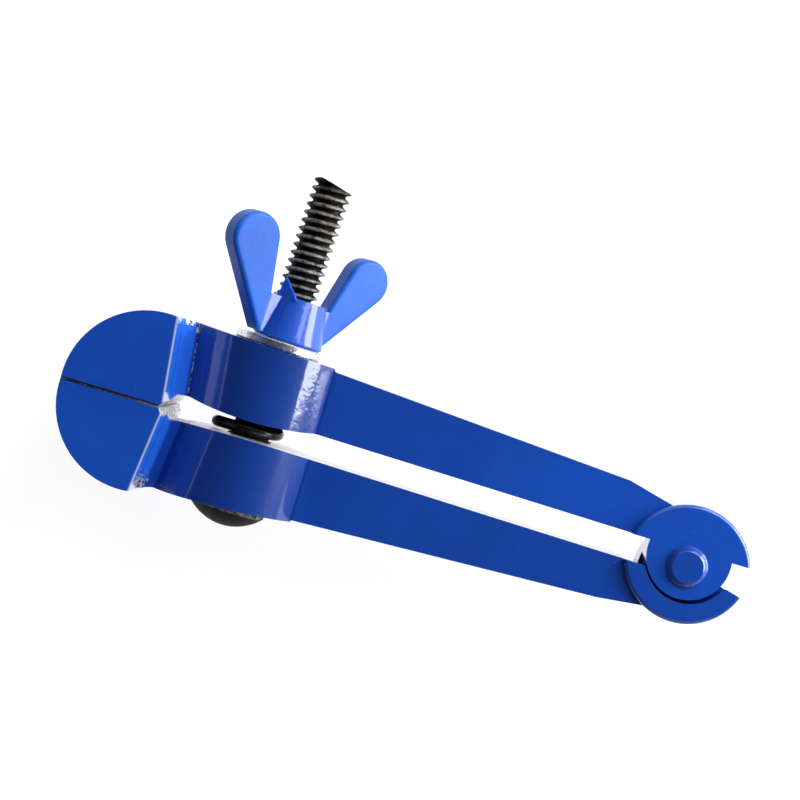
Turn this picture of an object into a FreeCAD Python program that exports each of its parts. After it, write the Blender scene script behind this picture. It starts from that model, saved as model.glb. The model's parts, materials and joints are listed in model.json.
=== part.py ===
"""Hinged hand vise: two cast arms on a riveted lap hinge, drawn together by a wing nut on a carriage bolt.

Design frame: the hinge pin's axis is Z, X runs from the jaws to the hinge, and Y runs from the bolt's head
to the wing nut. The placed frame has the same directions and stands on the bottom centre of the whole box.
Everything is in millimetres.
"""
import FreeCAD, Part
import math
import os
import re

import Sketcher

DIMENSIONS = {
    # jaws: a disc split in two along the gripping faces
    "jaw_width": 32.0,
    "jaw_radius": 12.4,
    "jaw_tip_x": -95.45,
    "jaw_top_x": -81.3,
    "jaw_heel_x": -80.8,
    "parting_y": 0.95,
    "jaw_nip": 0.02,
    "jaw_heel_gap": 0.25,
    "upper_jaw_top_y": 14.0,
    "lower_jaw_top_y": -12.0,
    # neck and boss, seen along the bolt
    "jaw_back_x": -79.6,
    "jaw_draft": 6.5,
    "neck_radius": 4.0,
    "neck_cut_z": 7.3,
    "neck_half": 5.1,
    "neck_x": -77.25,
    "boss_x": -68.3,
    "boss_radius": 11.1,
    "boss_end_x": -58.4,
    "cut_z": 20.0,
    "cut_end_x": 14.0,
    "boss_front_x": -67.4,
    "boss_step": 0.3,
    "throat_x": -79.6,
    "throat_end_x": -77.6,
    # upper arm, side view
    "upper_neck_y": 14.0,
    "upper_boss_end_y": 13.2,
    "upper_arm_start_y": 12.75,
    "upper_arm_end_y": 9.85,
    "upper_tuck_y": 8.1,
    "upper_inner_y": 3.1,
    "upper_sag_radius": 62.0,
    "upper_throat_y": 2.95,
    # lower arm, side view
    "lower_neck_y": -11.4,
    "lower_boss_end_y": -10.5,
    "lower_arm_start_y": -10.2,
    "lower_arm_end_y": -8.2,
    "lower_tuck_y": -7.42,
    "lower_inner_y": -0.75,
    "lower_sag_radius": 110.0,
    "lower_throat_y": -1.0,
    "arm_end_x": -11.5,
    "arm_tuck_x": -4.5,
    "arm_thickness": 10.0,
    # lap hinge
    "knuckle_thickness": 12.0,
    "lap_gap": 0.15,
    "sector_radius": 9.56,
    "upper_sector_x": 9.16,
    "lower_sector_x": 9.25,
    "lower_end_x": 8.95,
    "lower_end_y": -2.2,
    "disc_x": -0.1,
    "disc_radius": 6.38,
    "disc_rise": 1.46,
    "recess_radius": 6.75,
    "recess_rise": 1.3,
    "recess_x": 0.1,
    "upper_stop_y": 2.4,
    "lower_stop_y": -1.6,
    "knuckle_fillet": 0.6,
    "pin_radius": 2.5,
    "pin_clearance": 0.05,
    "pin_head_radius": 3.1,
    "pin_head_top_radius": 2.35,
    "pin_head_height": 0.9,
    "pin_head_rim": 0.2,
    "pin_play": 0.03,
    # bolt, spring and their seats, along the leaning bolt axis
    "bolt_x": -67.85,
    "bolt_lean": 2.0,
    "bolt_radius": 3.05,
    "thread_pitch": 1.27,
    "thread_depth": 0.75,
    "thread_crest": 0.22,
    "thread_bury": 0.1,
    "thread_start": 11.0,
    "bolt_top": 40.2,
    "end_slant": 12.0,
    "end_drop": 0.6,
    "bolt_seat": -11.0,
    "head_radius": 5.9,
    "head_height": 3.2,
    "head_rim": 0.5,
    "head_curve": 8.0,
    "shank_radius": 2.9,
    "neck_side": 6.3,
    "neck_length": 3.6,
    "neck_hole": 6.6,
    "spotface_radius": 6.5,
    "slot_back": 3.8,
    "slot_front": 0.3,
    "slot_radius": 3.45,
    "pocket_back": 2.6,
    "pocket_radius": 6.0,
    "pocket_floor": 8.7,
    "spring_wire": 1.7,
    "spring_radius": 4.7,
    "spring_foot": -0.45,
    "spring_top": 8.6,
    "spring_turns": 4.2,
    "spring_shift": -0.7,
    "spring_start": 225.0,
    # washer and wing nut
    "washer_foot": 13.62,
    "washer_radius": 6.6,
    "washer_hole": 3.5,
    "washer_thickness": 1.2,
    "edge_break": 0.15,
    "washer_shift": -0.2,
    "nut_foot": 14.9,
    "hub_radius": 5.45,
    "hub_top_radius": 4.15,
    "hub_height": 6.7,
    "hub_shift": 0.7,
    "nut_bore": 3.15,
    "nut_turn": 35.0,
    "wing_thickness": 3.5,
    "wing_reach": 10.6,
    "tall_wing_z": 13.3,
    "tall_wing_radius": 3.95,
    "short_wing_z": 12.4,
    "short_wing_radius": 3.6,
    "wing_root": 0.4,
    "wing_foot": 5.8,
    "wing_crotch": 5.2,
    "wing_edge": 0.7,
    "flash_width": 3.3,
    "flash_height": 2.6,
    "flash_peak": -1.3,
    "flash_thickness": 0.7,
    "flash_angle": 209.0,
}

# the nut's casting sits a little to one side of its own bore
HUB_CENTRE = ("hub_shift * cos(nut_turn * 1 deg)", "-hub_shift * sin(nut_turn * 1 deg)")


def bound(expression):
    """The expression with every dimension's name pointing at its cell in the sheet."""
    return re.sub(r"[a-z][a-z_]*", lambda m: "dims." + m.group() if m.group() in DIMENSIONS else m.group(), expression)


def make_sheet(doc):
    sheet = doc.addObject("Spreadsheet::Sheet", "dims")
    for row, (name, value) in enumerate(DIMENSIONS.items(), start=1):
        sheet.set("A%d" % row, name)
        sheet.set("B%d" % row, str(value))
        sheet.setAlias("B%d" % row, name)
    doc.recompute()
    return sheet


def number(thing, expression):
    found = thing.evalExpression(bound(expression))
    return float(getattr(found, "Value", found))


def bind(thing, **properties):
    for name, expression in properties.items():
        thing.setExpression(name, bound(expression))


def make_body(doc, name):
    body = doc.addObject("PartDesign::Body", name)
    body.Label = name
    return body


def make_sketch(body, name, role, offset=None):
    """A sketch on one of the body's own origin planes, moved off it by offset."""
    sketch = body.newObject("Sketcher::SketchObject", name)
    plane = next(feature for feature in body.Origin.OriginFeatures if feature.Role == role)
    sketch.AttachmentSupport = [(plane, "")]
    sketch.MapMode = "FlatFace"
    if offset is not None:
        sketch.AttachmentOffset = offset
    return sketch


def pin_point(sketch, geometry, end, corner):
    """Holds one end of a curve at a corner given by two expressions; None leaves that way free."""
    for kind, expression in zip(("DistanceX", "DistanceY"), corner):
        if expression is None:
            continue
        value = number(sketch, expression)
        if abs(value) < 1e-9:
            axis = -2 if kind == "DistanceX" else -1
            sketch.addConstraint(Sketcher.Constraint("PointOnObject", geometry, end, axis))
            continue
        index = sketch.addConstraint(Sketcher.Constraint(kind, -1, 1, geometry, end, value))
        sketch.setExpression("Constraints[%d]" % index, bound(expression))


def bend(start, end, radius, side):
    """The short arc from start to end whose centre lies on the left (side 1) or right (side -1) of the way."""
    chord = end - start
    middle = (start + end) * 0.5
    normal = FreeCAD.Vector(-chord.y, chord.x, 0).normalize()
    rise = math.sqrt(max(0, radius ** 2 - (chord.Length / 2) ** 2))
    centre = middle + normal * (side * rise)
    from_end, to_end = (start, end) if side > 0 else (end, start)
    angles = [math.atan2(p.y - centre.y, p.x - centre.x) for p in (from_end, to_end)]
    if angles[1] < angles[0]:
        angles[1] += 2 * math.pi
    return Part.ArcOfCircle(Part.Circle(centre, FreeCAD.Vector(0, 0, 1), radius), *angles)


def closed_outline(sketch, corners, bends=None):
    """Adds a closed outline through corners, straight except where bends names a radius and a side.

    A half turn between two corners at the same x is held by its centre, because its radius is already given.
    """
    points = [FreeCAD.Vector(number(sketch, x), number(sketch, y), 0) for x, y in corners]
    edges = []
    for i, start in enumerate(points):
        end = points[(i + 1) % len(points)]
        if bends and i in bends:
            radius, side = bends[i]
            index = sketch.addGeometry(bend(start, end, number(sketch, radius), side))
            edges.append((index, 1, 2) if side > 0 else (index, 2, 1))
        else:
            edges.append((sketch.addGeometry(Part.LineSegment(start, end)), 1, 2))
    for here, following, corner in zip(edges, edges[1:] + edges[:1], corners):
        sketch.addConstraint(Sketcher.Constraint("Coincident", here[0], here[2], following[0], following[1]))
        pin_point(sketch, here[0], here[1], corner)
    for i, (radius, side) in (bends or {}).items():
        arc, reach = edges[i][0], number(sketch, radius)
        if (points[(i + 1) % len(points)] - points[i]).Length > 2 * reach - 1e-6:
            pin_point(sketch, arc, 3, (corners[i][0], None))
            continue
        held = sketch.addConstraint(Sketcher.Constraint("Radius", arc, reach))
        sketch.setExpression("Constraints[%d]" % held, bound(radius))


def add_circle(sketch, centre, radius):
    at = FreeCAD.Vector(number(sketch, centre[0]), number(sketch, centre[1]), 0)
    circle = Part.Circle(at, FreeCAD.Vector(0, 0, 1), number(sketch, radius))
    index = sketch.addGeometry(circle)
    pin_point(sketch, index, 3, centre)
    held = sketch.addConstraint(Sketcher.Constraint("Radius", index, number(sketch, radius)))
    sketch.setExpression("Constraints[%d]" % held, bound(radius))


def pad(body, sketch, length, midplane=False, backwards=False):
    feature = body.newObject("PartDesign::Pad", sketch.Name + "_pad")
    feature.Profile = sketch
    feature.Midplane = midplane
    feature.Reversed = backwards
    bind(feature, Length=length)
    sketch.Visibility = False
    return feature


def pocket(body, sketch, length=None, midplane=False, backwards=False):
    """A pocket of a given length, or right through when none is given."""
    feature = body.newObject("PartDesign::Pocket", sketch.Name + "_pocket")
    feature.Profile = sketch
    feature.Midplane = midplane
    feature.Reversed = backwards
    if length is None:
        feature.Type = "ThroughAll"
    else:
        bind(feature, Length=length)
    sketch.Visibility = False
    return feature


def lathe(body, name, corners, bends=None, centre=None):
    """A full revolution of an outline given as radius and height, about the body's Z axis or one at centre."""
    sketch = make_sketch(body, name, "XZ_Plane")
    if centre is not None:
        bind(sketch, **{"AttachmentOffset.Base.x": centre[0], "AttachmentOffset.Base.z": "-(%s)" % centre[1]})
    closed_outline(sketch, corners, bends)
    feature = body.newObject("PartDesign::Revolution", name + "_turn")
    feature.Profile = sketch
    feature.ReferenceAxis = (sketch, ["V_Axis"])
    feature.Angle = 360
    sketch.Visibility = False
    return feature


def round_off(body, name, radius, chosen):
    """Fillets every edge of the body's last feature that chosen accepts."""
    base = body.Tip
    names = ["Edge%d" % i for i, edge in enumerate(base.Shape.Edges, start=1) if chosen(edge)]
    feature = body.newObject("PartDesign::Fillet", name)
    feature.Base = (base, names)
    bind(feature, Radius=radius)
    return feature


def bolt_frame(sheet, shift=0.0, turn=0.0):
    """Where the bolt's parts stand: Z along the leaning bolt, X towards the hinge, shifted along that X."""
    lean = math.radians(sheet.bolt_lean)
    along = FreeCAD.Vector(math.sin(lean), math.cos(lean), 0)
    across = FreeCAD.Vector(math.cos(lean), -math.sin(lean), 0)
    upright = FreeCAD.Rotation(across, FreeCAD.Vector(), along, "ZXY")
    spin = FreeCAD.Rotation(FreeCAD.Vector(0, 0, 1), turn)
    return FreeCAD.Placement(FreeCAD.Vector(sheet.bolt_x, 0, 0) + across * shift, upright * spin)


def lean_sketch(sketch, angle, x="0", y="0"):
    """Stands an XZ-plane sketch at the point x, y, turned about its upright axis by an angle in degrees."""
    turn = FreeCAD.Rotation(FreeCAD.Vector(0, 1, 0), number(sketch, angle))
    sketch.AttachmentOffset = FreeCAD.Placement(FreeCAD.Vector(), turn)
    offsets = {"Base.x": x, "Base.z": "-(%s)" % y, "Rotation.Angle": "(%s) * 1 deg" % angle}
    bind(sketch, **{"AttachmentOffset." + key: value for key, value in offsets.items()})


def plan_cut(body, name, lean, corners, bends):
    """Trims both flanks to an outline drawn, on the near side, as seen along the bolt."""
    sketch = make_sketch(body, name, "XZ_Plane")
    lean_sketch(sketch, lean)
    closed_outline(sketch, corners, bends)
    far_corners = [(x, "-(%s)" % z) for x, z in corners]
    closed_outline(sketch, far_corners, {i: (radius, -side) for i, (radius, side) in bends.items()})
    return pocket(body, sketch, midplane=True)


def trim_flanks(body, name, draft):
    """Shapes the jaw's back, the neck, the round boss and the flat flanks of an arm."""
    front = [
        ("jaw_back_x", "cut_z"),
        ("jaw_back_x", "neck_cut_z"),
        ("neck_x", "neck_half"),
        ("boss_front_x", "boss_radius"),
        ("boss_end_x", "boss_radius"),
        ("boss_end_x", "cut_z"),
    ]
    plan_cut(body, name + "_neck", draft, front, {1: ("neck_radius", 1), 2: ("boss_radius", -1)})
    rear = [
        ("neck_x", "boss_radius"),
        ("boss_x", "boss_radius"),
        ("boss_end_x", "arm_thickness / 2"),
        ("cut_end_x", "arm_thickness / 2"),
        ("cut_end_x", "cut_z"),
        ("neck_x", "cut_z"),
    ]
    plan_cut(body, name + "_flank", "0", rear, {1: ("boss_radius", -1)})


def upper_outline():
    return [
        ("jaw_tip_x", "parting_y + jaw_nip"),
        ("jaw_top_x", "upper_jaw_top_y"),
        ("jaw_back_x", "upper_neck_y"),
        ("boss_end_x", "upper_boss_end_y"),
        ("boss_end_x + boss_step", "upper_arm_start_y"),
        ("arm_end_x", "upper_arm_end_y"),
        ("arm_tuck_x", "upper_tuck_y"),
        ("arm_tuck_x", "upper_stop_y"),
        ("boss_end_x", "upper_inner_y"),
        ("throat_end_x", "upper_inner_y"),
        ("throat_x", "upper_throat_y"),
        ("jaw_heel_x", "parting_y + jaw_nip"),
    ]


def lower_outline():
    return [
        ("jaw_tip_x", "parting_y - jaw_nip"),
        ("jaw_top_x", "lower_jaw_top_y"),
        ("jaw_back_x", "lower_neck_y"),
        ("boss_end_x", "lower_boss_end_y"),
        ("boss_end_x + boss_step", "lower_arm_start_y"),
        ("arm_end_x", "lower_arm_end_y"),
        ("arm_tuck_x", "lower_tuck_y"),
        ("arm_tuck_x", "lower_stop_y"),
        ("boss_end_x", "lower_inner_y"),
        ("throat_end_x", "lower_inner_y"),
        ("throat_x", "lower_throat_y"),
        ("jaw_heel_x", "parting_y - jaw_heel_gap"),
    ]


def casting(doc, name, outline, sag, side, sector, disc_y, recess_y):
    """An arm: side 1 is the upper arm, whose hinge disc is on the near side, and side -1 the lower arm."""
    body = make_body(doc, name)
    profile = make_sketch(body, name + "_side", "XY_Plane")
    closed_outline(profile, outline, {0: ("jaw_radius", -side), 8: (sag, -side)})
    pad(body, profile, "jaw_width", midplane=True)
    trim_flanks(body, name, "%d * jaw_draft" % side)

    knuckle = make_sketch(body, name + "_knuckle", "XY_Plane")
    closed_outline(knuckle, sector, {0: ("sector_radius", -side)})
    pad(body, knuckle, "knuckle_thickness", midplane=True)

    disc = make_sketch(body, name + "_disc", "XY_Plane")
    add_circle(disc, ("disc_x", disc_y), "disc_radius")
    pad(body, disc, "knuckle_thickness / 2", backwards=side < 0)
    recess = make_sketch(body, name + "_recess", "XY_Plane")
    add_circle(recess, ("recess_x", recess_y), "recess_radius")
    bind(recess, **{"AttachmentOffset.Base.z": "%d * lap_gap / 2" % side})
    pocket(body, recess, backwards=side < 0)

    doc.recompute()
    half = number(body, "knuckle_thickness / 2")
    reach = number(body, "sector_radius")
    round_off(body, name + "_rim", "knuckle_fillet", lambda edge: on_knuckle_rim(edge, half, reach))
    pin_hole = make_sketch(body, name + "_pin_hole", "XY_Plane")
    add_circle(pin_hole, ("0", "0"), "pin_radius + pin_clearance")
    pocket(body, pin_hole, midplane=True)
    return body


def on_knuckle_rim(edge, half, reach):
    """True for the round outer edges of the hinge knuckle, on its two flat faces."""
    if not isinstance(edge.Curve, Part.Circle):
        return False
    centre = edge.Curve.Center
    return abs(abs(centre.z) - half) < 1e-6 and abs(edge.Curve.Radius - reach) < 1e-6


def slot(sketch, back, front, radius):
    """A round-ended slot along the sketch's X axis."""
    corners = [(front, "-(%s)" % radius), (front, radius), (back, radius), (back, "-(%s)" % radius)]
    closed_outline(sketch, corners, {0: (radius, 1), 2: (radius, 1)})


def make_upper_arm(doc):
    sector = [("-upper_sector_x", "upper_stop_y"), ("upper_sector_x", "upper_stop_y")]
    body = casting(doc, "upper_arm", upper_outline(), "upper_sag_radius", 1, sector, "disc_rise", "-recess_rise")
    hole = make_sketch(body, "upper_arm_slot", "XZ_Plane")
    lean_sketch(hole, "-bolt_lean", "bolt_x")
    slot(hole, "-slot_back", "slot_front", "slot_radius")
    pocket(body, hole)
    seat = make_sketch(body, "upper_arm_spring_pocket", "XZ_Plane")
    lean_sketch(seat, "-bolt_lean", "bolt_x")
    slot(seat, "-pocket_back", "slot_front", "pocket_radius")
    pocket(body, seat, "pocket_floor")
    return body


def make_lower_arm(doc):
    sector = [
        ("-lower_sector_x", "lower_stop_y"),
        ("lower_end_x", "lower_end_y"),
        ("recess_radius - recess_x", "lower_stop_y"),
    ]
    body = casting(doc, "lower_arm", lower_outline(), "lower_sag_radius", -1, sector, "-disc_rise", "recess_rise")
    hole = make_sketch(body, "lower_arm_bolt_hole", "XZ_Plane")
    lean_sketch(hole, "-bolt_lean", "bolt_x")
    half = "neck_hole / 2"
    square = [("-" + half, "-" + half), (half, "-" + half), (half, half), ("-" + half, half)]
    closed_outline(hole, square)
    pocket(body, hole, backwards=True)
    seat = make_sketch(body, "lower_arm_spotface", "XZ_Plane")
    seat_x = "bolt_x + bolt_seat * sin(bolt_lean * 1 deg)"
    lean_sketch(seat, "-bolt_lean", seat_x, "bolt_seat * cos(bolt_lean * 1 deg)")
    add_circle(seat, ("0", "0"), "spotface_radius")
    pocket(body, seat, "head_height", backwards=True)
    return body


def make_hinge_pin(doc):
    body = make_body(doc, "hinge_pin")
    half = "(knuckle_thickness / 2 + pin_play)"
    top = "(knuckle_thickness / 2 + pin_play + pin_head_height)"
    outline = [
        ("0", "-" + top),
        ("pin_head_top_radius", "-" + top),
        ("pin_head_radius", "-" + half + " - pin_head_rim"),
        ("pin_head_radius", "-" + half),
        ("pin_radius", "-" + half),
        ("pin_radius", half),
        ("pin_head_radius", half),
        ("pin_head_radius", half + " + pin_head_rim"),
        ("pin_head_top_radius", top),
        ("0", top),
    ]
    lathe(body, "hinge_pin_section", outline)
    return body


def make_washer(doc, place):
    body = make_body(doc, "flat_washer")
    top = "washer_foot + washer_thickness"
    outline = [
        ("washer_hole", "washer_foot"),
        ("washer_radius - edge_break", "washer_foot"),
        ("washer_radius", "washer_foot + edge_break"),
        ("washer_radius", top + " - edge_break"),
        ("washer_radius - edge_break", top),
        ("washer_hole", top),
    ]
    lathe(body, "flat_washer_section", outline)
    body.Placement = place
    return body


def wing_outline(body, name, side, height, radius):
    """A teardrop wing: a round lobe joined by tangent lines to the hub's foot and to its top rim."""
    sketch = make_sketch(body, name, "XZ_Plane")
    foot = ("%d * wing_foot" % side, "nut_foot + wing_root")
    inner_foot = ("0", "nut_foot + wing_root")
    inner_top = ("0", "nut_foot + hub_height - wing_root")
    rim = ("%d * wing_crotch" % side, "nut_foot + hub_height - wing_root")
    centre = ("%d * wing_reach" % side, "nut_foot + " + height)
    lobe = FreeCAD.Vector(number(sketch, centre[0]), number(sketch, centre[1]), 0)
    size = number(sketch, radius)
    outer = lobe + FreeCAD.Vector(side * size, -size / 2, 0)
    inner = lobe + FreeCAD.Vector(-side * size, 0, 0)
    start, end = (outer, inner) if side > 0 else (inner, outer)
    angles = [math.atan2(p.y - lobe.y, p.x - lobe.x) for p in (start, end)]
    if angles[1] < angles[0]:
        angles[1] += 2 * math.pi
    points = [FreeCAD.Vector(number(sketch, x), number(sketch, y), 0) for x, y in (rim, inner_top, inner_foot, foot)]
    lines = [sketch.addGeometry(Part.LineSegment(inner, points[0]))]
    for a, b in zip(points, points[1:]):
        lines.append(sketch.addGeometry(Part.LineSegment(a, b)))
    lines.append(sketch.addGeometry(Part.LineSegment(points[-1], outer)))
    arc = sketch.addGeometry(Part.ArcOfCircle(Part.Circle(lobe, FreeCAD.Vector(0, 0, 1), size), *angles))
    outer_end, inner_end = (1, 2) if side > 0 else (2, 1)
    for a, b in zip(lines, lines[1:]):
        sketch.addConstraint(Sketcher.Constraint("Coincident", a, 2, b, 1))
    for index, corner in zip(lines[1:], (rim, inner_top, inner_foot, foot)):
        pin_point(sketch, index, 1, corner)
    pin_point(sketch, arc, 3, centre)
    held = sketch.addConstraint(Sketcher.Constraint("Radius", arc, size))
    sketch.setExpression("Constraints[%d]" % held, bound(radius))
    sketch.addConstraint(Sketcher.Constraint("Tangent", lines[-1], 2, arc, outer_end))
    sketch.addConstraint(Sketcher.Constraint("Tangent", arc, inner_end, lines[0], 1))
    return sketch


def add_flash(body):
    """The thin pointed fin of casting flash that stands on the hub's top rim, just outside the bore."""
    sketch = make_sketch(body, "flash", "XZ_Plane")
    x = HUB_CENTRE[0] + " + (hub_top_radius - flash_thickness) * cos(flash_angle * 1 deg)"
    y = HUB_CENTRE[1] + " + (hub_top_radius - flash_thickness) * sin(flash_angle * 1 deg)"
    lean_sketch(sketch, "flash_angle + 90", x, y)
    foot = "nut_foot + hub_height - wing_root"
    half = "flash_width / 2"
    peak = ("flash_peak", foot + " + wing_root + flash_height")
    closed_outline(sketch, [("-" + half, foot), (half, foot), peak])
    pad(body, sketch, "flash_thickness")


def make_wing_nut(doc, place):
    body = make_body(doc, "wing_nut")
    for side, name, height, radius in (
        (-1, "tall_wing", "tall_wing_z", "tall_wing_radius"),
        (1, "short_wing", "short_wing_z", "short_wing_radius"),
    ):
        sketch = wing_outline(body, name, side, height, radius)
        pad(body, sketch, "wing_thickness", midplane=True)
    face = number(body, "wing_thickness / 2")
    outside = number(body, "wing_foot + wing_root")
    doc.recompute()
    round_off(body, "wing_edges", "wing_edge", lambda edge: on_wing_rim(edge, face, outside))
    rim = "nut_foot + hub_height"
    outline = [
        ("0", "nut_foot"),
        ("hub_radius - wing_root", "nut_foot"),
        ("hub_radius", "nut_foot + wing_root"),
        ("hub_top_radius", rim),
        ("0", rim),
    ]
    lathe(body, "hub", outline, centre=HUB_CENTRE)
    add_flash(body)
    bore = make_sketch(body, "nut_bore_hole", "XY_Plane")
    add_circle(bore, ("0", "0"), "nut_bore")
    pocket(body, bore, midplane=True)
    body.Placement = place
    return body


def on_wing_rim(edge, face, outside):
    """True for an edge that lies in a wing's flat face and reaches out past the hub."""
    in_face = all(abs(abs(point.Point.y) - face) < 1e-6 for point in edge.Vertexes)
    return in_face and max(abs(point.Point.x) for point in edge.Vertexes) > outside


def thread_ridge(sheet):
    """The bolt's helical ridge, swept round its core in one right-handed helix."""
    root = sheet.bolt_radius - sheet.thread_depth
    bury = sheet.thread_bury
    start = sheet.thread_start
    half_foot = (sheet.thread_pitch - sheet.thread_crest) / 2
    half_crest = sheet.thread_crest / 2
    section = [
        (root - bury, start - half_foot),
        (sheet.bolt_radius, start - half_crest),
        (sheet.bolt_radius, start + half_crest),
        (root - bury, start + half_foot),
    ]
    corners = [FreeCAD.Vector(x, 0, z) for x, z in section]
    profile = Part.makePolygon(corners + corners[:1])
    path = Part.makeHelix(sheet.thread_pitch, sheet.bolt_top - start, root)
    path.translate(FreeCAD.Vector(0, 0, start))
    return Part.Wire(path.Edges).makePipeShell([profile], True, True)


def make_carriage_bolt(doc, sheet, place):
    """Dome head, square neck and shank as one blank, the ridge fused on, and the end sawn at a slant."""
    blank = make_body(doc, "bolt_blank")
    seat = "bolt_seat"
    crown = "bolt_seat - head_height"
    outline = [
        ("0", crown),
        ("head_radius", "bolt_seat - head_rim"),
        ("head_radius", seat),
        ("shank_radius", seat),
        ("shank_radius", "thread_start"),
        ("bolt_radius - thread_depth", "thread_start + thread_pitch"),
        ("bolt_radius - thread_depth", "bolt_top"),
        ("0", "bolt_top"),
    ]
    lathe(blank, "bolt_section", outline, {0: ("head_curve", 1)})
    neck = make_sketch(blank, "bolt_neck", "XY_Plane")
    bind(neck, **{"AttachmentOffset.Base.z": seat})
    half = "neck_side / 2"
    closed_outline(neck, [("-" + half, "-" + half), (half, "-" + half), (half, half), ("-" + half, half)])
    pad(blank, neck, "neck_length")

    ridge = doc.addObject("Part::Feature", "bolt_ridge")
    ridge.Shape = thread_ridge(sheet)
    threaded = doc.addObject("Part::Fuse", "bolt_threaded")
    threaded.Base = blank
    threaded.Tool = ridge

    saw = doc.addObject("Part::Box", "bolt_saw")
    bind(saw, Length="4 * bolt_radius", Width="4 * bolt_radius", Height="2 * bolt_radius")
    tilt = FreeCAD.Rotation(FreeCAD.Vector(0, 1, 0), sheet.end_slant)
    corner = FreeCAD.Vector(-2 * sheet.bolt_radius, -2 * sheet.bolt_radius, 0)
    saw.Placement = FreeCAD.Placement(FreeCAD.Vector(0, 0, sheet.bolt_top - sheet.end_drop), tilt)
    saw.Placement = saw.Placement * FreeCAD.Placement(corner, FreeCAD.Rotation())
    bolt = doc.addObject("Part::Cut", "carriage_bolt")
    bolt.Base = threaded
    bolt.Tool = saw
    bolt.Placement = place
    return bolt


def make_spring(doc, sheet, place):
    """A compression spring of plain round wire, right-handed, its ends cut square."""
    rise = sheet.spring_top - sheet.spring_foot - sheet.spring_wire
    pitch = rise / sheet.spring_turns
    path = Part.makeHelix(pitch, rise, sheet.spring_radius)
    start = FreeCAD.Vector(sheet.spring_radius, 0, 0)
    along = FreeCAD.Vector(0, 2 * math.pi * sheet.spring_radius, pitch)
    circle = Part.Wire(Part.makeCircle(sheet.spring_wire / 2, start, along))
    coil = Part.Wire(path.Edges).makePipeShell([circle], True, True)
    spring = doc.addObject("Part::Feature", "compression_spring")
    spring.Shape = coil
    lift = FreeCAD.Vector(0, 0, sheet.spring_foot + sheet.spring_wire / 2)
    spring.Placement = place * FreeCAD.Placement(lift, FreeCAD.Rotation())
    return spring


def stand_on_origin(parts):
    """Moves every part so that the bottom centre of their common box is the origin."""
    box = FreeCAD.BoundBox()
    for part in parts:
        box.add(part.Shape.optimalBoundingBox(False, False))
    shift = FreeCAD.Placement(FreeCAD.Vector(-box.Center.x, -box.Center.y, -box.ZMin), FreeCAD.Rotation())
    for part in parts:
        part.Placement = shift * part.Placement
    return shift.Base


def check(doc, parts):
    for thing in doc.Objects:
        if "Invalid" in thing.State or "Error" in thing.State:
            raise RuntimeError("%s failed: %s" % (thing.Name, thing.State))
    for part in parts:
        if part.Shape.isNull() or not part.Shape.isValid() or len(part.Shape.Solids) != 1:
            raise RuntimeError("%s is not one valid solid" % part.Label)


def main():
    doc = FreeCAD.newDocument("hand_vise")
    sheet = make_sheet(doc)
    place = bolt_frame(sheet)
    parts = [
        make_upper_arm(doc),
        make_lower_arm(doc),
        make_hinge_pin(doc),
        make_carriage_bolt(doc, sheet, place),
        make_spring(doc, sheet, bolt_frame(sheet, sheet.spring_shift, sheet.spring_start)),
        make_washer(doc, bolt_frame(sheet, sheet.washer_shift)),
        make_wing_nut(doc, bolt_frame(sheet, 0, sheet.nut_turn)),
    ]
    for part in parts:
        part.Label = part.Name
    doc.recompute()
    check(doc, parts)
    shift = stand_on_origin(parts)
    doc.recompute()
    check(doc, parts)
    os.makedirs("parts", exist_ok=True)
    for part in parts:
        part.Shape.exportStep("parts/%s.step" % part.Label)
        print("%-20s %10.1f mm3" % (part.Label, part.Shape.Volume))
    print("hinge axis and bolt foot moved by", shift)


main()
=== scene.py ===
"""Looks of the hinged hand vise: enamelled castings, black bolt and spring, zinc washer, studio and camera.

Metres throughout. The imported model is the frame, and places are given from its joints and its box.
"""

import collections
import json
import math

import bmesh
import bpy
from mathutils import Matrix, Vector


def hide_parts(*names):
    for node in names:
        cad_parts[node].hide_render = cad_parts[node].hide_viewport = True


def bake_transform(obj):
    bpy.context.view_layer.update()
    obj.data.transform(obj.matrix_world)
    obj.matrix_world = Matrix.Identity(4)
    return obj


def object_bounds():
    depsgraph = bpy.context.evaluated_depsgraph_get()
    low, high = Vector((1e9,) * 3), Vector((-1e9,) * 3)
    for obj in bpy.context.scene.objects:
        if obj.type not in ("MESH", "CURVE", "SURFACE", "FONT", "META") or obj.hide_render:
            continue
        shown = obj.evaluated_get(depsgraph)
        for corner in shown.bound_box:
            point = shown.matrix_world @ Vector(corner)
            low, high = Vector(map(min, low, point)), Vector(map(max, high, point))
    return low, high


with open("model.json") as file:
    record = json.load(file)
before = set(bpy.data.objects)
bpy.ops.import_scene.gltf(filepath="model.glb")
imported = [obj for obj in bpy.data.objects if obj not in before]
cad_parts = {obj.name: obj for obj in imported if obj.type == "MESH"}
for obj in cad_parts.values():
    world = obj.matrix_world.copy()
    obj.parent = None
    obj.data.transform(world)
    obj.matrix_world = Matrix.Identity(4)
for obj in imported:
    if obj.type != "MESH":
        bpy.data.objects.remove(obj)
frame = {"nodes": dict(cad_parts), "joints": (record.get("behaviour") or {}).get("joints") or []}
cad_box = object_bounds()

MM = 0.001
joints = {joint["name"]: joint for joint in frame["joints"]}
HINGE = Vector(joints["jaw_hinge"]["pos_m"])
BOLT_FOOT = Vector(joints["nut_spin"]["pos_m"])
BOLT_AXIS = Vector(joints["nut_spin"]["axis"]).normalized()
MID_HEIGHT = HINGE.z

# camera: almost straight down on the tool, from the photograph's side and distance
CAMERA_FROM_HINGE = Vector((-49.5, 17.3, 349.9)) * MM
CAMERA_ROLL = math.radians(16.6)
CAMERA_TILT = math.radians(1.0)
CAMERA_SENSOR = 36.0
CAMERA_LENS = 104.7
CAMERA_NEAR = 10 * MM
CAMERA_FAR = 10.0

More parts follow.
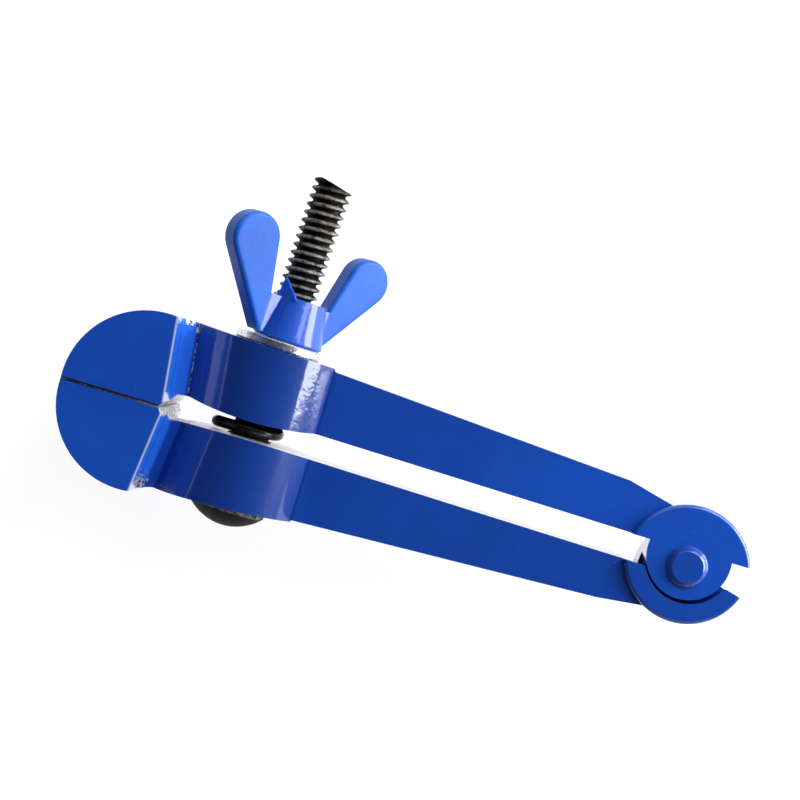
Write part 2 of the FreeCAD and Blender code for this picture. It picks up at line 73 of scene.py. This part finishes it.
# studio lights: heading and elevation in degrees, distance, width and height in metres, radiance
LIGHT_TARGET_X = -12 * MM
LIGHTS = {
    "key": (38, 33, 0.75, 0.60, 0.62, 5.0),
    "right_strip": (3.6, 15, 0.55, 0.44, 0.26, 11.5),
    "top_fill": (95, 35, 0.75, 0.60, 0.40, 1.2),
    "bottom_fill": (-85, 38, 0.75, 0.60, 0.40, 0.9),
    "left_fill": (168, 26, 0.70, 0.40, 0.30, 0.12),
}
FLOOR_HALF = 3.0

# colours, as linear light
ENAMEL = (0.0045, 0.073, 0.480)
ENAMEL_DEEP = (0.0040, 0.062, 0.425)
# darker enamel for the boss and the arm beside it: painted shade
ENAMEL_PAINTED_SHADE = (0.0015, 0.030, 0.215)
# lighter enamel for the strip of the neck behind the jaw: painted light
ENAMEL_PAINTED_LIGHT = (0.020, 0.160, 0.860)
# pale primer for the specks, also used as a painted highlight along the jaw's back edge
PRIMER_AND_HIGHLIGHT = (0.55, 0.62, 0.75)
# the nut's wings, a lighter blue than its hub: painted light
NUT_WING_ENAMEL_LIT = (0.005, 0.108, 0.540)
NUT_WING_ENAMEL_LIT_DEEP = (0.004, 0.090, 0.480)
# bare iron, its near-white tone partly a painted reflection
BARE_IRON_AND_REFLECTION = (0.92, 0.92, 0.93)
# dark line along the jaws' parting: grime, and painted shade of the gap between the jaws
GRIME_AND_SHADE = (0.002, 0.002, 0.004)
CAST_PIT = (0.015, 0.016, 0.020)
BLACK_OXIDE = (0.004, 0.004, 0.004)
WORN_OXIDE = (0.38, 0.35, 0.31)
BLACK_WIRE = (0.003, 0.003, 0.0032)
DULL_WIRE = (0.012, 0.012, 0.012)
ZINC = (0.86, 0.87, 0.87)
ZINC_DULL = (0.22, 0.22, 0.25)
FLOOR_WHITE = (0.30, 0.30, 0.30)
FLOOR_SHADE = (0.28, 0.28, 0.28)
FLOOR_GLOW = 0.90
WORLD_GLOW = 0.04

# spring, in the bolt's own frame: how far it stands off the bolt's axis and along it
SPRING_OFFSET = -0.7 * MM
SPRING_RADIUS = 4.7 * MM
SPRING_WIRE = 0.85 * MM
SPRING_FOOT = -0.45 * MM
SPRING_TOP = 8.6 * MM
SPRING_TURNS = 2.2
SPRING_CLOSED_TURNS = 0.55
SPRING_START = math.radians(165.0)
SPRING_STEPS_PER_TURN = 64
SPRING_SIDES = 20
# the cut ends of the wire are rounded by this share of its radius
CUT_ROUNDING = 0.15

# the painted pieces' edge radius, and what counts as one point, one flat face and a sharp edge
EDGE_RADIUS = 0.3 * MM
WELD_GAP = 0.0005 * MM
FLAT_ANGLE = math.radians(0.4)
SHARP_ANGLE = math.radians(35.0)

# the castings' neck: its crease leans by the draft angle and passes this far before the hinge
NECK_DRAFT = math.radians(6.5)
NECK_CREASE = -77.25 * MM
NECK_HALF = 5.1 * MM
# the castings' zones along X from the hinge: the jaw's back, the boss's end, and the lap's parting height
JAW_BACK = -79.6 * MM
BOSS_END = -58.4 * MM
PARTING = 0.95 * MM
THROAT_END = -76.3 * MM
JAW_HALF = 16.0 * MM
NECK_START = JAW_BACK - NECK_CREASE
# how far the enamel's zones fade into each other, at a sharp border and at the slower ones
BORDER = 0.1 * MM
NECK_FADE = 0.5 * MM
BOSS_FADE = 1.0 * MM
JAW_FADE = 2 * MM
# lines in the enamel, at the jaw's back edge (a painted highlight), along the parting (grime with painted
# shade) and at the crease (worn): half their full width, where they have faded, and how strong they are
RIM_HALF = 0.10 * MM
RIM_FADED = 0.35 * MM
RIM_HIGHLIGHT = 0.8
SEAM_HALF = 0.16 * MM
SEAM_FADED = 0.30 * MM
CREASE_HALF = 0.04 * MM
CREASE_FADED = 0.15 * MM
CREASE_WEAR = 0.7
# the unpainted faces between the arms, whose near-white iron is partly painted reflection: their height band
# about the hinge, and where they end
INNER_LOW = -2.2 * MM
INNER_HIGH = 4.4 * MM
INNER_END = -9.5 * MM
INNER_BORDER = 0.2 * MM
INNER_FADE = 0.3 * MM
THROAT_FADE = 0.5 * MM
# bare iron: its dark flecks, how many of them stand on its flat faces, and its grit
FLECK_SIZE = 0.65 * MM
FLAT_FLECKS = 0.12
GRIT_SIZE = 0.42 * MM
GRIT_DEPTH = 0.16 * MM
# spots where the enamel is chipped or thin, from the hinge, with their radii
UPPER_CHIPS = (((-80.4, 14.3, 6.3), 1.25), ((-79.2, 13.0, 5.1), 0.55))
LOWER_CHIPS = (((-80.7, -11.7, 8.0), 2.1),)
# the nut stands turned by this much about the bolt, and its hub ends this far along the wings
NUT_TURN = math.radians(35.0)
HUB_REACH = 5.6 * MM
HUB_FADE = 0.6 * MM

# a point of a casting: along the arm, above the hinge, off the mid-plane, and beyond the neck's crease
Place = collections.namedtuple("Place", "length height depth leaning")


class Nodes:
    """A short way to build one node material, with its parts joined as they are made."""

    def __init__(self, name):
        self.material = bpy.data.materials.new(name)
        self.material.use_nodes = True
        self.tree = self.material.node_tree
        self.shader = self.tree.nodes["Principled BSDF"]
        self.position = self.tree.nodes.new("ShaderNodeTexCoord").outputs["Object"]
        # the layers of an enamel, which enamel() fills in
        self.body = None
        self.grain = None
        self.rough = None
        self.relief = None

    def join(self, value, socket):
        """Links a socket to another, or sets its own value."""
        if isinstance(value, bpy.types.NodeSocket):
            self.tree.links.new(value, socket)
        else:
            socket.default_value = value

    def set(self, **values):
        """Sets or joins the shader's sockets, named with underscores for spaces."""
        for name, value in values.items():
            if isinstance(value, tuple) and len(value) == 3:
                value = (*value, 1.0)
            self.join(value, self.shader.inputs[name.replace("_", " ")])

    def noise(self, size, detail=3.0, roughness=0.5):
        """Noise whose features are about size metres across."""
        node = self.tree.nodes.new("ShaderNodeTexNoise")
        node.inputs["Scale"].default_value = 1.0 / size
        node.inputs["Detail"].default_value = detail
        node.inputs["Roughness"].default_value = roughness
        self.join(self.position, node.inputs["Vector"])
        return node.outputs["Fac"]

    def cells(self, size):
        """Distance to the nearest of scattered points about size metres apart, in cells."""
        node = self.tree.nodes.new("ShaderNodeTexVoronoi")
        node.inputs["Scale"].default_value = 1.0 / size
        node.inputs["Randomness"].default_value = 1.0
        self.join(self.position, node.inputs["Vector"])
        return node.outputs["Distance"]

    def ramp(self, value, low, high, start=0.0, end=1.0):
        """Value from low to high, rescaled smoothly from start to end and held outside."""
        node = self.tree.nodes.new("ShaderNodeMapRange")
        node.interpolation_type = "SMOOTHSTEP"
        for name, number in (("From Min", low), ("From Max", high), ("To Min", start), ("To Max", end)):
            node.inputs[name].default_value = number
        self.join(value, node.inputs["Value"])
        return node.outputs["Result"]

    def maths(self, operation, a, b=0.0):
        """One arithmetic step on two numbers."""
        node = self.tree.nodes.new("ShaderNodeMath")
        node.operation = operation
        self.join(a, node.inputs[0])
        self.join(b, node.inputs[1])
        return node.outputs["Value"]

    def mix(self, share, a, b):
        """The colour a turning to b as share goes from 0 to 1."""
        node = self.tree.nodes.new("ShaderNodeMix")
        node.data_type = "RGBA"
        self.join(share, node.inputs["Factor"])
        for name, colour in (("A", a), ("B", b)):
            socket = next(s for s in node.inputs if s.name == name and s.type == "RGBA")
            self.join((*colour, 1.0) if isinstance(colour, tuple) else colour, socket)
        return next(s for s in node.outputs if s.type == "RGBA")

    def vector_maths(self, operation, a, b, output="Value"):
        """One step on two vectors, read from its number or its vector output."""
        node = self.tree.nodes.new("ShaderNodeVectorMath")
        node.operation = operation
        self.join(a, node.inputs[0])
        self.join(b, node.inputs[1])
        return node.outputs[output]

    def facing(self, direction):
        """How far the surface faces a direction, from -1 to 1, on the piece's own axes."""
        geometry = self.tree.nodes.new("ShaderNodeNewGeometry")
        turned = self.tree.nodes.new("ShaderNodeVectorTransform")
        turned.vector_type = "NORMAL"
        turned.convert_from = "WORLD"
        turned.convert_to = "OBJECT"
        self.join(geometry.outputs["True Normal"], turned.inputs["Vector"])
        return self.vector_maths("DOT_PRODUCT", turned.outputs["Vector"], direction)

    def along(self, origin, direction):
        """Distance of a point along a line, in metres."""
        offset = self.vector_maths("SUBTRACT", self.position, origin, "Vector")
        return self.vector_maths("DOT_PRODUCT", offset, direction)

    def near(self, point, radius):
        """1 close to a point, falling to 0 about radius metres away along a ragged border."""
        distance = self.vector_maths("DISTANCE", self.position, point)
        ragged = self.ramp(self.noise(0.45 * MM, detail=3.0), 0.3, 0.7, 0.6, 1.4)
        return self.ramp(self.maths("MULTIPLY", distance, ragged), radius * 0.8, radius, 1.0, 0.0)

    def both(self, *masks):
        """The product of several masks."""
        found = masks[0]
        for mask in masks[1:]:
            found = self.maths("MULTIPLY", found, mask)
        return found

    def blend_vectors(self, share, a, b):
        """The vector a turning to b as share goes from 0 to 1."""
        node = self.tree.nodes.new("ShaderNodeMix")
        node.data_type = "VECTOR"
        self.join(share, node.inputs["Factor"])
        for name, vector in (("A", a), ("B", b)):
            self.join(vector, next(s for s in node.inputs if s.name == name and s.type == "VECTOR"))
        return next(s for s in node.outputs if s.type == "VECTOR")

    def bump(self, height, depth, under=None):
        """Bump of a height from 0 to 1 that stands depth metres high, over an earlier bump."""
        node = self.tree.nodes.new("ShaderNodeBump")
        node.inputs["Strength"].default_value = 1.0
        node.inputs["Distance"].default_value = depth
        self.join(height, node.inputs["Height"])
        if under is not None:
            self.join(under, node.inputs["Normal"])
        return node.outputs["Normal"]


def enamel(name, colour, deep, peel, peel_size):
    """Baked enamel on a rough casting: cloudy depth, orange peel and a few tiny pits and specks."""
    nodes = Nodes(name)
    cloud = nodes.noise(9 * MM, detail=4.0)
    fine = nodes.noise(0.5 * MM, detail=3.0, roughness=0.6)
    body = nodes.mix(nodes.ramp(cloud, 0.35, 0.65), colour, deep)
    specks = nodes.ramp(nodes.cells(1.5 * MM), 0.05, 0.075, 1.0, 0.0)
    rare = nodes.ramp(nodes.noise(5.0 * MM, detail=2.0), 0.58, 0.64)
    nodes.body = nodes.mix(nodes.maths("MULTIPLY", nodes.both(specks, rare), 0.35), body, PRIMER_AND_HIGHLIGHT)
    nodes.rough = nodes.ramp(fine, 0.2, 0.8, 0.30, 0.42)
    waves = nodes.bump(nodes.noise(peel_size, detail=2.5, roughness=0.6), peel)
    pits = nodes.ramp(nodes.cells(1.1 * MM), 0.05, 0.14)
    elsewhere = nodes.ramp(rare, 0.0, 1.0, 1.0, 0.0)
    nodes.relief = nodes.bump(nodes.maths("MAXIMUM", pits, elsewhere), 0.02 * MM, waves)
    nodes.grain = fine
    return nodes


def arm_enamel(name, peel, crease, painted_light_width, arm_shade_shares, chips):
    """The arms' enamel, darker on the boss as painted shade and lighter on the neck as painted light, with
    bare silvery iron, near-white partly as painted reflection, between the arms.

    The arm's shares say how far the enamel on the arm itself is of the darker, painted-shade kind, at the
    boss and at the hinge.
    """
    nodes = enamel(name, ENAMEL, ENAMEL_DEEP, peel, 1.2 * MM)
    place = casting_place(nodes)
    across = nodes.maths("ABSOLUTE", nodes.facing((0.0, 1.0, 0.0)))
    between_arms = nodes.both(nodes.ramp(place.height, INNER_LOW - INNER_BORDER, INNER_LOW),
                              nodes.ramp(place.height, INNER_HIGH, INNER_HIGH + INNER_BORDER, 1.0, 0.0))
    before_throat_end = nodes.ramp(place.length, THROAT_END - THROAT_FADE, THROAT_END, 1.0, 0.0)
    throat = nodes.both(before_throat_end, between_arms)
    body = arm_colour(nodes, place, painted_light_width, arm_shade_shares)
    bare = bare_areas(nodes, place, across, between_arms, chips)
    if crease:
        bare = nodes.maths("MAXIMUM", bare, crease_line(nodes, place))
    iron, rough_iron = bare_iron(nodes, across, throat)
    normal = nodes.blend_vectors(bare, nodes.relief, rough_iron)
    nodes.set(Base_Color=nodes.mix(bare, body, iron), Metallic=nodes.maths("MULTIPLY", bare, 0.6))
    nodes.set(Roughness=nodes.rough, Specular_IOR_Level=0.25, IOR=1.5)
    nodes.set(Coat_Weight=nodes.ramp(bare, 0.0, 1.0, 1.0, 0.5), Coat_Roughness=0.08, Coat_IOR=1.62)
    nodes.set(Normal=normal, Coat_Normal=normal)
    return nodes.material


def casting_place(nodes):
    """Where a point of a casting lies. The neck's crease leans by the draft, away from the parting plane."""
    length = nodes.along(HINGE, (1.0, 0.0, 0.0))
    height = nodes.along(HINGE, (0.0, 1.0, 0.0))
    depth = nodes.maths("ABSOLUTE", nodes.along(HINGE, (0.0, 0.0, 1.0)))
    along = nodes.maths("MULTIPLY", length, math.cos(NECK_DRAFT))
    away = nodes.maths("MULTIPLY", nodes.maths("ABSOLUTE", height), math.sin(NECK_DRAFT))
    leaning = nodes.maths("SUBTRACT", nodes.maths("ADD", along, away), NECK_CREASE)
    return Place(length, height, depth, leaning)


def arm_colour(nodes, place, painted_light_width, arm_shade_shares):
    """The enamel's colour by zone: painted shade on the boss and the arm, painted light on the neck, a
    painted highlight along the jaw's back edge, and grime with painted shade in the parting line.
    """
    # painted shade: the boss, and the arm near it, take the darker enamel
    boss = nodes.both(nodes.ramp(place.leaning, -BORDER, BORDER),
                      nodes.ramp(place.length, BOSS_END, BOSS_END + BOSS_FADE, 1.0, 0.0))
    arm = nodes.both(nodes.ramp(place.length, BOSS_END, BOSS_END + BOSS_FADE),
                     nodes.ramp(place.length, BOSS_END, INNER_END, *arm_shade_shares))
    body = nodes.mix(nodes.maths("MAXIMUM", boss, arm), nodes.body, ENAMEL_PAINTED_SHADE)
    # painted light: a lighter strip of enamel on the neck, just behind the jaw's back
    painted_light_end = NECK_START + painted_light_width
    neck = nodes.both(nodes.ramp(place.leaning, NECK_START - BORDER, NECK_START + BORDER),
                      nodes.ramp(place.leaning, painted_light_end - NECK_FADE, painted_light_end, 1.0, 0.0))
    body = nodes.mix(neck, body, ENAMEL_PAINTED_LIGHT)
    # painted highlight: a pale line along the jaw's back edge
    off_rim = nodes.maths("ABSOLUTE", nodes.maths("SUBTRACT", place.leaning, NECK_START))
    rim = nodes.both(nodes.ramp(off_rim, RIM_HALF, RIM_FADED, RIM_HIGHLIGHT, 0.0),
                     nodes.ramp(place.depth, JAW_HALF - 1.0 * MM, JAW_HALF - 0.5 * MM))
    body = nodes.mix(rim, body, PRIMER_AND_HIGHLIGHT)
    # grime and painted shade: a dark line on the jaw faces along the parting
    off_seam = nodes.maths("ABSOLUTE", nodes.maths("SUBTRACT", place.height, PARTING))
    seam = nodes.both(nodes.ramp(off_seam, SEAM_HALF, SEAM_FADED, 1.0, 0.0),
                      nodes.ramp(place.length, JAW_BACK - JAW_FADE, JAW_BACK, 1.0, 0.0))
    return nodes.mix(seam, body, GRIME_AND_SHADE)


def bare_areas(nodes, place, across, between_arms, chips):
    """1 where there is no enamel: on the faces that the arms turn to each other, and in the chips."""
    before = nodes.ramp(place.length, INNER_END, INNER_END + INNER_FADE, 1.0, 0.0)
    bare = nodes.both(nodes.ramp(across, 0.30, 0.45), between_arms, before)
    for point, radius in chips:
        bare = nodes.maths("MAXIMUM", bare, nodes.near(HINGE + Vector(point) * MM, radius * MM))
    return bare


def bare_iron(nodes, across, throat):
    """Colour and bump of silvery iron, dark-flecked on edges, in the throat and on the gripping faces; its
    near-white colour is partly painted reflection.
    """
    on_edge = nodes.ramp(across, 0.970, 0.999, 1.0, FLAT_FLECKS)
    speckle = nodes.ramp(nodes.noise(FLECK_SIZE, detail=3.0, roughness=0.7), 0.47, 0.53)
    flecks = nodes.both(speckle, nodes.maths("MAXIMUM", on_edge, throat))
    coarse = nodes.noise(GRIT_SIZE, detail=4.0, roughness=0.75)
    grit = nodes.both(coarse, nodes.ramp(throat, 0.0, 1.0, 0.3, 1.0))
    return nodes.mix(flecks, BARE_IRON_AND_REFLECTION, CAST_PIT), nodes.bump(grit, GRIT_DEPTH)


def crease_line(nodes, place):
    """A hairline of worn enamel where the neck meets the boss."""
    line = nodes.ramp(nodes.maths("ABSOLUTE", place.leaning), CREASE_HALF, CREASE_FADED, CREASE_WEAR, 0.0)
    off_neck = nodes.maths("ABSOLUTE", nodes.maths("SUBTRACT", place.depth, NECK_HALF))
    return nodes.both(line, nodes.ramp(off_neck, 0.6 * MM, 0.9 * MM, 1.0, 0.0))


def nut_enamel(name):
    """The nut's enamel: satin on the wings, glossier on the hub, with the wings a lighter blue than the hub
    as painted light.
    """
    nodes = enamel(name, NUT_WING_ENAMEL_LIT, NUT_WING_ENAMEL_LIT_DEEP, 0.02 * MM, 0.8 * MM)
    side = Vector((BOLT_AXIS.y, -BOLT_AXIS.x, 0.0))
    wings = side * math.cos(NUT_TURN) - Vector((0.0, 0.0, 1.0)) * math.sin(NUT_TURN)
    reach = nodes.maths("ABSOLUTE", nodes.along(BOLT_FOOT, wings))
    hub = nodes.ramp(reach, HUB_REACH - HUB_FADE, HUB_REACH, 1.0, 0.0)
    # painted light: the wings keep the lighter blue, while the hub takes the arms' blue
    nodes.set(Base_Color=nodes.mix(hub, nodes.body, ENAMEL))
    nodes.set(Roughness=nodes.ramp(nodes.grain, 0.2, 0.8, 0.40, 0.52), Specular_IOR_Level=0.28, IOR=1.5)
    nodes.set(Coat_Weight=nodes.ramp(hub, 0.0, 1.0, 0.05, 0.8), Coat_Roughness=0.08, Coat_IOR=1.55)
    nodes.set(Normal=nodes.relief, Coat_Normal=nodes.relief)
    return nodes.material


def black_oxide(name):
    """Black oxide worn to brown-grey along the thread's crests."""
    nodes = Nodes(name)
    cloud = nodes.noise(1.1 * MM, detail=5.0, roughness=0.65)
    geometry = nodes.tree.nodes.new("ShaderNodeNewGeometry")
    edge = nodes.ramp(geometry.outputs["Pointiness"], 0.50, 0.57)
    wear = nodes.maths("MULTIPLY", nodes.ramp(cloud, 0.32, 0.65), edge)
    nodes.set(Base_Color=nodes.mix(wear, BLACK_OXIDE, WORN_OXIDE))
    nodes.set(Metallic=nodes.ramp(wear, 0.0, 1.0, 0.0, 0.8))
    nodes.set(Roughness=nodes.ramp(cloud, 0.3, 0.7, 0.45, 0.65), Specular_IOR_Level=0.06)
    grain = nodes.noise(0.25 * MM, detail=4.0, roughness=0.7)
    nodes.set(Normal=nodes.bump(grain, 0.06 * MM))
    return nodes.material


def black_wire(name):
    """Oiled black spring wire."""
    nodes = Nodes(name)
    cloud = nodes.noise(0.8 * MM, detail=4.0)
    nodes.set(Base_Color=nodes.mix(nodes.ramp(cloud, 0.5, 0.75), BLACK_WIRE, DULL_WIRE))
    nodes.set(Roughness=nodes.ramp(cloud, 0.3, 0.7, 0.16, 0.3), Specular_IOR_Level=0.1)
    nodes.set(Coat_Weight=0.3, Coat_Roughness=0.06)
    nodes.set(Normal=nodes.bump(nodes.noise(0.5 * MM), 0.006 * MM))
    return nodes.material


def zinc_plate(name):
    """Bright zinc with a coarse, flecked rim."""
    nodes = Nodes(name)
    cloud = nodes.noise(0.45 * MM, detail=5.0, roughness=0.7)
    nodes.set(Base_Color=nodes.mix(nodes.ramp(cloud, 0.50, 0.66), ZINC, ZINC_DULL), Metallic=1.0)
    nodes.set(Roughness=nodes.ramp(cloud, 0.3, 0.7, 0.16, 0.34))
    nodes.set(Normal=nodes.bump(nodes.noise(0.3 * MM, detail=4.0, roughness=0.7), 0.03 * MM))
    return nodes.material


def floor_white(name):
    """A white light table, so that nothing on it throws a dark shadow."""
    nodes = Nodes(name)
    cloud = nodes.noise(60 * MM, detail=3.0)
    nodes.set(Base_Color=nodes.mix(cloud, FLOOR_WHITE, FLOOR_SHADE), Roughness=0.8, Specular_IOR_Level=0.1)
    nodes.set(Emission_Color=(1.0, 1.0, 1.0), Emission_Strength=FLOOR_GLOW)
    return nodes.material


def paint(node, material):
    """Gives a CAD node's object a material in each of its slots."""
    mesh = frame["nodes"][node].data
    if not mesh.materials:
        mesh.materials.append(material)
    for index in range(len(mesh.materials)):
        mesh.materials[index] = material


def soften(node):
    """Rounds a CAD node's sharp edges with modifiers, leaving its own mesh as it is."""
    thing = frame["nodes"][node]
    weld = thing.modifiers.new("weld", "WELD")
    weld.merge_threshold = WELD_GAP
    flat = thing.modifiers.new("join_flat_faces", "DECIMATE")
    flat.decimate_type = "DISSOLVE"
    flat.angle_limit = FLAT_ANGLE
    bevel = thing.modifiers.new("edge_radius", "BEVEL")
    bevel.width = EDGE_RADIUS
    bevel.segments = 3
    bevel.limit_method = "ANGLE"
    bevel.angle_limit = SHARP_ANGLE
    bevel.miter_outer = "MITER_ARC"
    smooth = thing.modifiers.new("smooth_normals", "WEIGHTED_NORMAL")
    smooth.keep_sharp = False
    smooth.weight = 80
    for polygon in thing.data.polygons:
        polygon.use_smooth = True


def bolt_point(across, away, height):
    """A point from the bolt's own frame: across towards the hinge, away from the camera, height along it."""
    side = Vector((BOLT_AXIS.y, -BOLT_AXIS.x, 0.0))
    return BOLT_FOOT + side * across - Vector((0.0, 0.0, 1.0)) * away + BOLT_AXIS * height


def tube(name, path, radius, sides):
    """A closed round tube along a path of points, with slightly rounded ends."""
    mesh = bpy.data.meshes.new(name)
    build = bmesh.new()
    rings = [wire_ring(build, path, index, radius, sides) for index in range(len(path))]
    for low, high in zip(rings, rings[1:]):
        for side in range(sides):
            following = (side + 1) % sides
            build.faces.new((low[side], low[following], high[following], high[side]))
    caps = [build.faces.new(list(reversed(rings[0]))), build.faces.new(rings[-1])]
    bmesh.ops.recalc_face_normals(build, faces=build.faces)
    rims = [edge for cap in caps for edge in cap.edges]
    bmesh.ops.bevel(build, geom=rims, offset=radius * CUT_ROUNDING, segments=2, affect="EDGES")
    build.to_mesh(mesh)
    build.free()
    thing = bpy.data.objects.new(name, mesh)
    bpy.context.collection.objects.link(thing)
    for polygon in mesh.polygons:
        polygon.use_smooth = len(polygon.vertices) < sides
    return thing


def wire_ring(build, path, index, radius, sides):
    """The ring of points round one point of the path, square to the path there."""
    point = path[index]
    forward = (path[min(index + 1, len(path) - 1)] - path[max(index - 1, 0)]).normalized()
    outward = (point - nearest_on_axis(point)).normalized()
    outward = (outward - forward * outward.dot(forward)).normalized()
    upward = forward.cross(outward)
    ring = []
    for side in range(sides):
        angle = 2 * math.pi * side / sides
        turned = outward * math.cos(angle) + upward * math.sin(angle)
        ring.append(build.verts.new(point + turned * radius))
    return ring


def nearest_on_axis(point):
    """The point of the spring's axis that is level with another point."""
    centre = bolt_point(SPRING_OFFSET, 0.0, 0.0)
    return centre + BOLT_AXIS * (point - centre).dot(BOLT_AXIS)


def make_spring(material):
    """The compression spring: a coil whose ends lie close, blended from the lower arm to the washer."""
    rise = SPRING_TOP - SPRING_FOOT - 2 * SPRING_WIRE
    steps = int(SPRING_TURNS * SPRING_STEPS_PER_TURN)
    path = []
    for step in range(steps + 1):
        turn = SPRING_TURNS * step / steps
        angle = SPRING_START + 2 * math.pi * turn
        height = SPRING_FOOT + SPRING_WIRE + coil_rise(turn, rise)
        across = SPRING_OFFSET + SPRING_RADIUS * math.cos(angle)
        path.append(bolt_point(across, SPRING_RADIUS * math.sin(angle), height))
    spring = tube("spring_coil", path, SPRING_WIRE, SPRING_SIDES)
    spring.data.materials.append(material)
    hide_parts("compression_spring")
    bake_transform(spring)


def coil_rise(turn, rise):
    """How far the wire has risen after some turns: it lies close in the end turns and opens between them."""
    closed = 2 * SPRING_WIRE * SPRING_CLOSED_TURNS
    open_turns = SPRING_TURNS - 2 * SPRING_CLOSED_TURNS
    if turn < SPRING_CLOSED_TURNS:
        return 2 * SPRING_WIRE * turn
    if turn > SPRING_TURNS - SPRING_CLOSED_TURNS:
        return rise - 2 * SPRING_WIRE * (SPRING_TURNS - turn)
    return closed + (rise - 2 * closed) * (turn - SPRING_CLOSED_TURNS) / open_turns


def make_floor():
    """A plain square floor under the tool."""
    mesh = bpy.data.meshes.new("floor")
    corners = [(x * FLOOR_HALF, y * FLOOR_HALF, 0) for x, y in ((-1, -1), (1, -1), (1, 1), (-1, 1))]
    mesh.from_pydata(corners, [], [(0, 1, 2, 3)])
    floor = bpy.data.objects.new("floor", mesh)
    floor.location.z = cad_box[0].z
    bpy.context.collection.objects.link(floor)
    mesh.materials.append(floor_white("floor_white"))


def make_camera():
    """The scene's camera, rolled and slightly tilted above the tool."""
    data = bpy.data.cameras.new("camera")
    data.sensor_width = CAMERA_SENSOR
    data.lens = CAMERA_LENS
    data.clip_start = CAMERA_NEAR
    data.clip_end = CAMERA_FAR
    camera = bpy.data.objects.new("camera", data)
    bpy.context.collection.objects.link(camera)
    right = Vector((math.cos(CAMERA_ROLL), math.sin(CAMERA_ROLL), 0.0))
    level = Vector((-math.sin(CAMERA_ROLL), math.cos(CAMERA_ROLL), 0.0))
    upright = Vector((0.0, 0.0, 1.0))
    up = level * math.cos(CAMERA_TILT) - upright * math.sin(CAMERA_TILT)
    back = upright * math.cos(CAMERA_TILT) + level * math.sin(CAMERA_TILT)
    turn = Matrix((right, up, back)).transposed()
    camera.matrix_world = Matrix.Translation(HINGE + CAMERA_FROM_HINGE) @ turn.to_4x4()
    bpy.context.scene.camera = camera


def softbox(name, heading, elevation, distance, width, height, radiance):
    """A rectangular light aimed at the tool, from a heading in the photograph's plane (0 is its right)."""
    target = Vector((LIGHT_TARGET_X, 0.0, MID_HEIGHT))
    bearing = CAMERA_ROLL + math.radians(heading)
    tilt = math.radians(elevation)
    flat = Vector((math.cos(bearing), math.sin(bearing), 0.0))
    away = flat * math.cos(tilt) + Vector((0.0, 0.0, 1.0)) * math.sin(tilt)
    data = bpy.data.lights.new(name, "AREA")
    data.shape = "RECTANGLE"
    data.size = width
    data.size_y = height
    data.energy = radiance * width * height * math.pi
    light = bpy.data.objects.new(name, data)
    bpy.context.collection.objects.link(light)
    light.location = target + away * distance
    light.rotation_mode = "QUATERNION"
    light.rotation_quaternion = away.to_track_quat("Z", "Y")


def make_lights():
    """A key from the upper right, a low strip for the gloss, weak fills, and a faint even world."""
    for name, values in LIGHTS.items():
        softbox(name, *values)
    world = bpy.data.worlds.new("studio")
    world.use_nodes = True
    world.node_tree.nodes["Background"].inputs["Color"].default_value = (1.0, 1.0, 1.0, 1.0)
    world.node_tree.nodes["Background"].inputs["Strength"].default_value = WORLD_GLOW
    bpy.context.scene.world = world
    bpy.context.scene.view_settings.view_transform = "Standard"


def main():
    """Paints the pieces, replaces the spring, and sets the stage."""
    upper = arm_enamel("upper_enamel", peel=0.022 * MM, crease=True, painted_light_width=2.2 * MM,
                       arm_shade_shares=(0.40, 0.05), chips=UPPER_CHIPS)
    lower = arm_enamel("lower_enamel", peel=0.009 * MM, crease=False, painted_light_width=1.2 * MM,
                       arm_shade_shares=(0.50, 0.40), chips=LOWER_CHIPS)
    for node, material in (("upper_arm", upper), ("lower_arm", lower), ("hinge_pin", lower)):
        paint(node, material)
        soften(node)
    paint("wing_nut", nut_enamel("nut_enamel"))
    soften("wing_nut")
    paint("carriage_bolt", black_oxide("black_oxide"))
    paint("flat_washer", zinc_plate("zinc_plate"))
    make_spring(black_wire("black_wire"))
    make_floor()
    make_camera()
    make_lights()


main()
